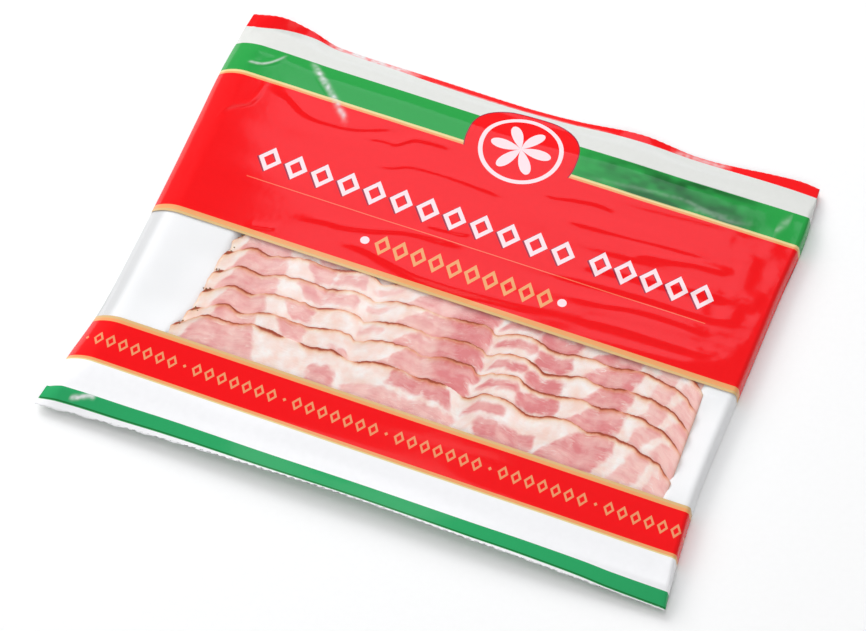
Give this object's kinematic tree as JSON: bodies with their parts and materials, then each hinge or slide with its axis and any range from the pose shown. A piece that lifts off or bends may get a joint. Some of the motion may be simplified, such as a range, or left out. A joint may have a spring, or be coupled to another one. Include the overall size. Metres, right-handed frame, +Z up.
{
  "type": "bacon pack",
  "caption": "Flat sealed film pouch of shingled bacon slices, crimped at both ends, with a clear window band across it between printed panels.",
  "frame": {"origin": "centre of the pack's bounding box, on its underside, where it lies on a table", "axes": "+Z up through the printed face, +X along the slices to the printed face's right side, +Y from the front seal to the back seal"},
  "size_m": [0.2745, 0.2253, 0.0074],
  "materials": {
    "printed_film": "glossy laminated film printed in flat red, green, white and gold bands",
    "clear_film": "clear glossy film drawn over the slices",
    "bacon": "moist cured pork belly, pink lean and cream fat with a smoked brown edge"
  },
  "bodies": {
    "root": {"wrapper": "printed_film", "window_film": "clear_film", "slice_1": "bacon", "slice_2": "bacon", "slice_3": "bacon", "slice_4": "bacon", "slice_5": "bacon", "slice_6": "bacon"}
  },
  "joints": []
}
